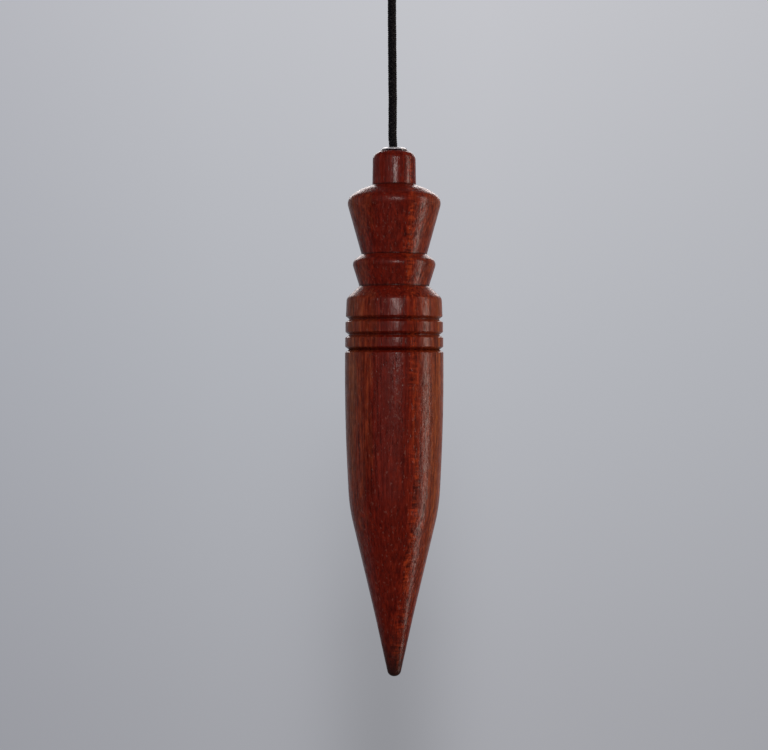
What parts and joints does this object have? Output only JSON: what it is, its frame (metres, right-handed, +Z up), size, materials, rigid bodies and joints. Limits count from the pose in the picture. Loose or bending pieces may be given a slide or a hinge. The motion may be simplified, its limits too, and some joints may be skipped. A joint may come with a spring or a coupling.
{
  "type": "plumb bob",
  "caption": "Turned wooden plumb bob on a black cord: a long pointed body with a screw-on head that holds a ballast slug and the cord's stopper knot.",
  "frame": {"origin": "the hang point: the inside of the cord's loop at its top, on the bob's axis", "axes": "+Z straight up along the bob's axis, so the bob hangs towards -Z; the loop lies in the XZ plane; -Y faces the viewer"},
  "size_m": [0.0188, 0.0188, 0.1586],
  "materials": {
    "body_wood": "gloss lacquer over dark red-brown hardwood",
    "head_wood": "gloss lacquer over dark red-brown hardwood",
    "nickel": "polished nickel plate",
    "brass": "turned, satin",
    "cord": "braided cotton, waxed",
    "cork": "plain cork"
  },
  "bodies": {
    "hanger": {"hang_loop": "cord"},
    "knot": {"loop_knot": "cord"},
    "line": {"cord": "cord"},
    "line_end": {"cord_inside": "cord", "stopper_knot": "cord"},
    "head": {"bob_head": "head_wood", "eyelet": "nickel", "stop_washer": "brass"},
    "ballast": {"ballast_slug": "brass", "cork_pad": "cork"},
    "point": {"bob_body": "body_wood"}
  },
  "joints": [
    {"name": "swing_fore_aft", "type": "hinge", "parent": "hanger", "child": "knot", "pos_m": [-0.00043, 0, -0.01705], "axis": [1, 0, 0], "range_deg": [-60, 60]},
    {"name": "swing_side", "type": "hinge", "parent": "knot", "child": "line", "pos_m": [-0.00043, 0, -0.02425], "axis": [0, 1, 0], "range_deg": [-60, 60]},
    {"name": "bob_tilt", "type": "hinge", "parent": "line", "child": "line_end", "pos_m": [0, 0, -0.05665], "axis": [0, 1, 0], "range_deg": [-55, 55]},
    {"name": "bob_spin", "type": "hinge", "parent": "line_end", "child": "head", "pos_m": [0, 0, -0.05665], "axis": [0, 0, 1], "continuous": true},
    {"name": "unscrew_drop", "type": "slide", "parent": "head", "child": "ballast", "axis": [0, 0, -1], "range_m": [0, 0.0075]},
    {"name": "unscrew_turn", "type": "hinge", "parent": "ballast", "child": "point", "pos_m": [0, 0, -0.095], "axis": [0, 0, -1], "range_deg": [0, 1350]}
  ],
  "couplings": [
    {"joint": "unscrew_turn", "follows": "unscrew_drop", "rad_per_m": 3141.6}
  ]
}
